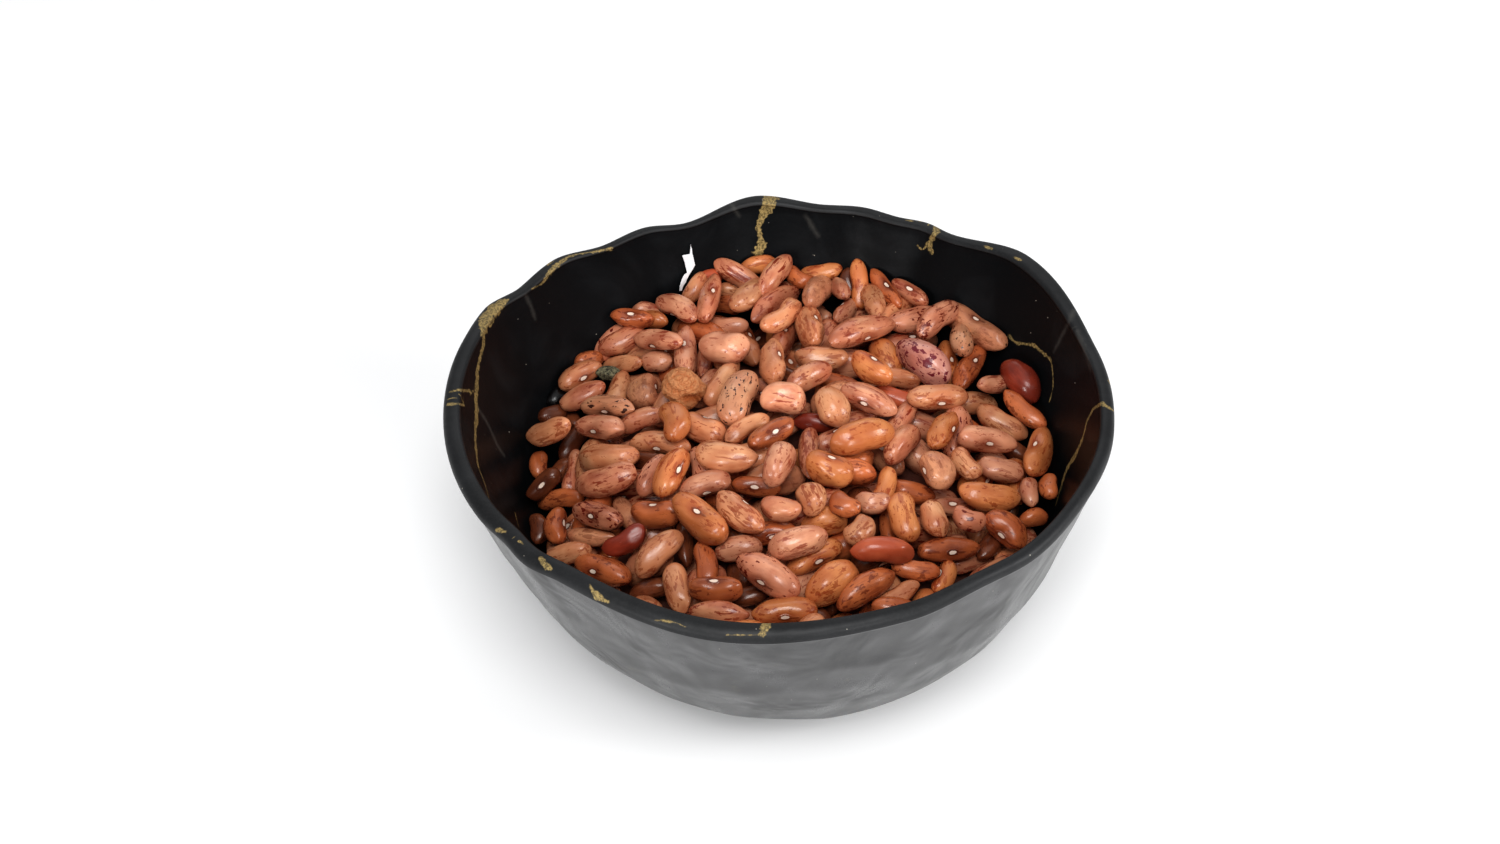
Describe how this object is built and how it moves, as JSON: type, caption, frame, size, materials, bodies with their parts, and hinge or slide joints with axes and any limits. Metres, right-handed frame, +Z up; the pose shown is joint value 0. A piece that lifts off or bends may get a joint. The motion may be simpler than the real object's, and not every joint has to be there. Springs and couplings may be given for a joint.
{
  "type": "bowl of dried beans",
  "caption": "Round black bowl with a wavy rim and a hammered outside, filled with a heap of dried speckled brown beans.",
  "frame": {"origin": "centre of the underside of the bowl's foot", "axes": "+Z up along the bowl's axis, -Y towards the viewer of the reference view, +X to that viewer's right"},
  "size_m": [0.1602, 0.1625, 0.0664],
  "materials": {
    "bowl": "satin black melamine with gold and grey marbling",
    "beans": "smooth satin bean skins, tan to brick brown, streaked and speckled darker",
    "paper": "matt white torn paper"
  },
  "bodies": {
    "root": {"bowl": "bowl", "beans": "beans", "paper_shred": "paper"}
  },
  "joints": []
}
